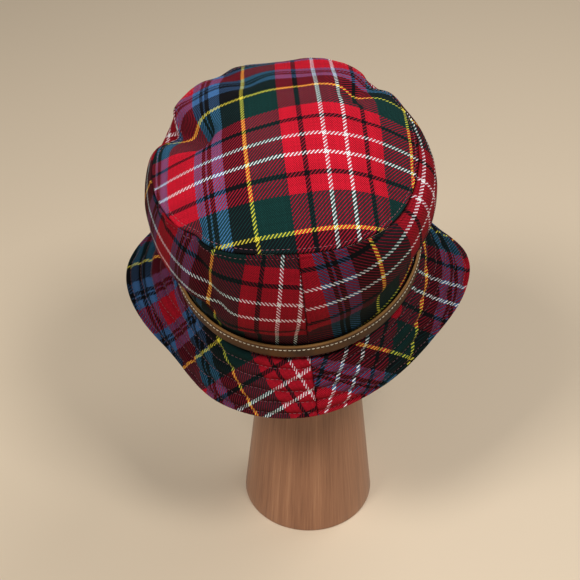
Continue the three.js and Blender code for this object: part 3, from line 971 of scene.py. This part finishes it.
def joinStitches(name, rows, material):
    vertices, faces, start = [], [], 0
    for rowVertices, rowFaces in rows:
        vertices.append(rowVertices)
        faces.append(rowFaces + start)
        start += len(rowVertices)
    piece = makeMesh(name, np.concatenate(vertices), np.concatenate(faces), None, material)


def crownRow(level):
    # a row of topstitching beside the tip's seam, on the tip above level 1 and on the wall below it
    angles = evenly(lambda a: crownPoint(a, level), np.linspace(0, 360, 361), crownStitch["spacing"])
    face = crownPoint(angles, level)
    normal = crownNormal(angles, level, stitchShape["normalStep"])
    around = aroundHead(angles)
    away = np.full(angles.shape, seamStyle["stitchIn"])
    relief = seamRelief(away, around, seamStyle["tipSeed"])
    relief += unevenness(face, clothWaves) * smoothStep(0, seamStyle["slackIn"], away)
    relief += (gathers["onTip"] if level > 1 else 1.0) * gathered(angles, around, away)
    return stitchRow(face + normal * (relief + stitchShape["lift"])[:, None], normal, crownStitch)


def brimRow(fromEdge, startAngle):
    # a row of topstitching on half the brim, at an even distance from its edge
    share = 1 - fromEdge / brimDepth
    span = np.linspace(startAngle + brimStitchMargin, startAngle + 180 - brimStitchMargin, 361)
    angles = evenly(lambda a: brimPoint(a, share), span, brimStitch["spacing"])
    face = brimPoint(angles, share)
    normal = brimNormal(angles, share)
    relief = brimRelief(face, angles, np.full(angles.shape, fromEdge))
    return stitchRow(face + normal * (relief + stitchShape["lift"])[:, None], normal, brimStitch)


def strapRow():
    # the strap's one row, set in a shallow groove
    up = strap["stitchHeight"]
    out = strapInside + hatSize["bandLeather"] + strap["bulge"] - strap["stitchSink"] + stitchShape["lift"]
    angles = evenly(lambda a: headLine(a, out, up), np.linspace(0, 360, 721), strapStitch["spacing"])
    sway = strapSway(angles)
    normal = headLine(angles, out + 1.0, up) - headLine(angles, out, up)
    return stitchRow(headLine(angles, out + np.abs(sway), up + sway), normal, strapStitch)


# the cloth's length from the tip's seam to the tip's middle and down the wall, near enough
tipRun = 0.97 * (hatSize["headHalfWidth"] + 0.3 * hatSize["tipRise"])
wallRun = 1.08 * hatSize["crownHeight"]
crownRows = [crownRow(1 + seamStyle["stitchIn"] / tipRun), crownRow(1 - seamStyle["stitchIn"] / wallRun)]
brimStarts = (hatSize["seamAngle"], hatSize["seamAngle"] + 180)
brimRows = [brimRow(row, start) for row in brimPanel["rowsFromEdge"] for start in brimStarts]
joinStitches("crown_topstitching", crownRows, seamThread)
joinStitches("brim_topstitching", brimRows, brimThread)
joinStitches("strap_stitching", [strapRow()], creamThread)
print("stitching made")

# The stand's outline in millimetres, the same as the solid's.
standShape = {
    "footRadius": 54.5,
    "footEdge": 1.2,
    "neckRadius": 27.0,
    "neckHeight": 262.0,
    "headRadius": 47.0,
    "headRise": 44.0,
    "undersideRing": 0.6,
    "edgeCount": 5, "columnCount": 30, "neckCount": 20, "headCount": 20, "roundCount": 144,
}


def makeStand():
    # foot, straight taper, smooth neck and an elliptical head, turned round the Z axis
    foot, neck, head = standShape["footRadius"], standShape["neckRadius"], standShape["headRadius"]
    edge, neckUp, headRise = standShape["footEdge"], standShape["neckHeight"], standShape["headRise"]
    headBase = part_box("stand")[1][2] / millimetre - headRise
    edgeTurn = np.linspace(0, np.pi / 2, standShape["edgeCount"])
    columnShare = np.linspace(0, 1, standShape["columnCount"])[1:]
    neckShare = np.linspace(0, 1, standShape["neckCount"])[1:]
    headTurn = np.linspace(0, np.pi / 2, standShape["headCount"])[1:]
    radius = np.concatenate([
        [0, standShape["undersideRing"] * foot],
        foot - edge * (1 - np.sin(edgeTurn)),
        foot + (neck - foot) * columnShare,
        neck + (head - neck) * smoothStep(0, 1, neckShare),
        head * np.cos(headTurn),
    ])
    height = np.concatenate([
        [0, 0],
        edge * (1 - np.cos(edgeTurn)),
        edge + (neckUp - edge) * columnShare,
        neckUp + (headBase - neckUp) * neckShare,
        headBase + headRise * np.sin(headTurn),
    ])
    radius[-1] = 0
    turn = np.linspace(0, 2 * np.pi, standShape["roundCount"], endpoint=False)
    turn, radius = np.meshgrid(turn, radius, indexing="ij")
    places = np.broadcast_arrays(radius * np.cos(turn), radius * np.sin(turn), height)
    points = np.stack(places, -1) * millimetre
    faces = gridFaces(*turn.shape, True, 0, False)
    piece = makeMesh("walnut_stand", points.reshape(-1, 3), faces, None, walnut)
    closePoles(piece)
    return piece


stand = makeStand()
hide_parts("stand")
print("stand made")

# Three soft lamps, two from the front and one from behind on the right, and a faint sky: place, size, power.
studio = {
    "floor": "e4cfb2",
    "floorSize": 8.0,
    "sky": "dfe3ea",
    "skyStrength": 0.12,
    "lampAim": (0, 0, 0.25),
    "lamps": {
        "left_front_lamp": ((-0.75, -0.75, 1.6), 0.4, 15.5),
        "right_front_lamp": ((0.55, -0.7, 1.65), 0.35, 12.5),
        "right_back_lamp": ((0.8, 0.6, 1.6), 0.9, 10.0),
    },
}


def makeStudio():
    bpy.ops.mesh.primitive_plane_add(size=studio["floorSize"])
    floor = bpy.context.object
    floor.name = "floor"
    material, add = newMaterial("pale_floor")
    surface = add("BsdfPrincipled", {"Base Color": linear(studio["floor"]), "Roughness": 0.6})
    add("OutputMaterial", {}, {"Surface": surface})
    floor.data.materials.append(material)
    world = bpy.data.worlds.new("studio")
    world.use_nodes = True
    background = world.node_tree.nodes["Background"]
    background.inputs[0].default_value = linear(studio["sky"])
    background.inputs[1].default_value = studio["skyStrength"]
    bpy.context.scene.world = world
    for name, (place, size, power) in studio["lamps"].items():
        light = bpy.data.lights.new(name, "AREA")
        light.size = size
        light.energy = power
        lamp = bpy.data.objects.new(name, light)
        lamp.location = place
        towards = mathutils.Vector(studio["lampAim"]) - lamp.location
        lamp.rotation_euler = towards.to_track_quat("-Z", "Y").to_euler()
        bpy.context.scene.collection.objects.link(lamp)


# The photograph's view: 40.2 degrees down, about 80 mm on a 36 mm sensor, square frame.
view = {"place": (-0.0158, -0.7634, 0.866), "down": 40.2, "lens": 80.7, "sensor": 36.0, "nearest": 0.01}


def makeCamera():
    lens = bpy.data.cameras.new("view")
    lens.lens = view["lens"]
    lens.sensor_width = view["sensor"]
    lens.clip_start = view["nearest"]
    camera = bpy.data.objects.new("view", lens)
    camera.location = view["place"]
    camera.rotation_euler = (math.radians(90 - view["down"]), 0, 0)
    bpy.context.scene.collection.objects.link(camera)
    bpy.context.scene.camera = camera
    bpy.context.scene.view_settings.view_transform = "Standard"


makeStudio()
makeCamera()
print("studio ready")
